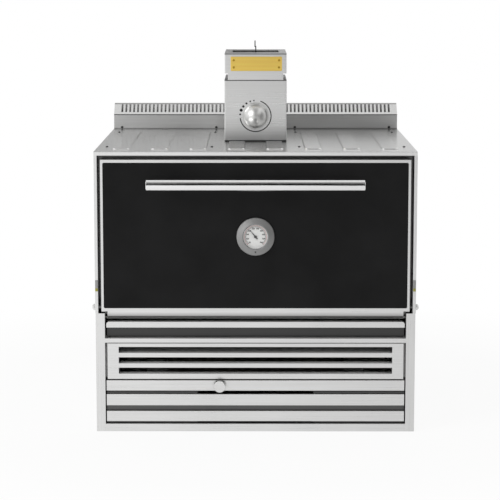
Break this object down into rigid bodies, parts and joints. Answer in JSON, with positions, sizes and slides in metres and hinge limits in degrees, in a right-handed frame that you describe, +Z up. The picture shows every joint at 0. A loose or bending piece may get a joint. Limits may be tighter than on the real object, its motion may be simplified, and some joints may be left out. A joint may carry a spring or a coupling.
{
  "type": "charcoal oven",
  "caption": "Free-standing steel charcoal oven with a drop-down insulated door, ash and grease drawers, a draught slide and a flue with a turning damper.",
  "frame": {"origin": "on the floor under the middle of the top plate's width and depth", "axes": "+X to the right seen from the front, +Y towards the back, +Z up"},
  "size_m": [0.866, 0.8685, 1.0246],
  "materials": {
    "casing_steel": "fine brushed stainless sheet",
    "polished_steel": "polished stainless",
    "hardware_steel": "bright turned steel",
    "inner_steel": "plain dull stainless",
    "firebox_steel": "heat-darkened thick steel",
    "grate_iron": "rough black cast iron",
    "door_black": "fine matt black coating",
    "brass": "satin brass",
    "plate_screw_steel": "small bright screws",
    "insulation": "pale fibre blanket and board",
    "seal_rope": "dark woven rope",
    "dial_white": "white printed disc",
    "needle_black": "black painted needle",
    "lens_glass": "clear flat glass"
  },
  "bodies": {
    "cabinet": {"base_plate": "inner_steel", "front_frame": "casing_steel", "side_panel_left": "casing_steel", "side_panel_right": "casing_steel", "back_panel": "casing_steel", "deck_plate": "inner_steel", "drawer_runners": "inner_steel", "draught_guides": "inner_steel", "ash_chute": "firebox_steel", "vent_grille": "casing_steel", "front_surround": "casing_steel", "top_plate": "casing_steel", "rear_upstand": "casing_steel", "casing_screws": "hardware_steel", "firebox_walls": "firebox_steel", "firebox_floor": "firebox_steel", "firebox_roof": "firebox_steel", "flue_throat": "firebox_steel", "floor_board": "insulation", "insulation_wrap": "insulation", "insulation_rear": "insulation", "charcoal_grate": "grate_iron", "grate_rests": "firebox_steel", "rack_ladders": "inner_steel", "grill_rack_lower": "inner_steel", "grill_rack_upper": "inner_steel", "hinge_pins": "hardware_steel", "hinge_nuts": "hardware_steel", "door_catches": "hardware_steel", "catch_pads": "brass", "flue_box": "casing_steel", "flue_collar": "casing_steel", "brass_plate": "brass", "plate_screws": "plate_screw_steel", "damper_bushes": "brass"},
    "door": {"door_frame": "casing_steel", "door_panel": "door_black", "door_insulation": "insulation", "door_liner": "inner_steel", "door_seal": "seal_rope", "hinge_bushes": "brass", "handle_bar": "polished_steel", "handle_posts": "polished_steel", "thermometer_bezel": "polished_steel", "thermometer_dial": "dial_white", "thermometer_lens": "lens_glass", "thermometer_stem": "hardware_steel", "thermometer_nut": "hardware_steel"},
    "needle": {"thermometer_needle": "needle_black"},
    "grease_drawer": {"grease_drawer_front": "casing_steel", "grease_drawer_pan": "inner_steel"},
    "ash_drawer": {"ash_drawer_front": "casing_steel", "ash_drawer_pan": "inner_steel"},
    "draught": {"draught_slide": "casing_steel", "draught_knob": "polished_steel"},
    "damper": {"damper_plate": "firebox_steel", "damper_shaft": "hardware_steel", "damper_knob": "polished_steel"},
    "arrestor": {"spark_arrestor": "inner_steel", "arrestor_eye": "hardware_steel"}
  },
  "joints": [
    {"name": "door_hinge", "type": "hinge", "parent": "cabinet", "child": "door", "pos_m": [0, -0.361, 0.336], "axis": [1, 0, 0], "range_deg": [0, 90]},
    {"name": "needle_turn", "type": "hinge", "parent": "door", "child": "needle", "pos_m": [0, -0.376, 0.5263], "axis": [0, 1, 0], "range_deg": [-95, 175]},
    {"name": "grease_drawer_slide", "type": "slide", "parent": "cabinet", "child": "grease_drawer", "axis": [0, -1, 0], "range_m": [0, 0.24]},
    {"name": "ash_drawer_slide", "type": "slide", "parent": "cabinet", "child": "ash_drawer", "axis": [0, -1, 0], "range_m": [0, 0.4]},
    {"name": "draught_slide_travel", "type": "slide", "parent": "cabinet", "child": "draught", "axis": [0, -1, 0], "range_m": [0, 0.1]},
    {"name": "damper_turn", "type": "hinge", "parent": "cabinet", "child": "damper", "pos_m": [0, -0.06, 0.821], "axis": [0, 1, 0], "range_deg": [0, 90]},
    {"name": "arrestor_lift", "type": "slide", "parent": "cabinet", "child": "arrestor", "axis": [0, 0, 1], "range_m": [0, 0.09]}
  ]
}
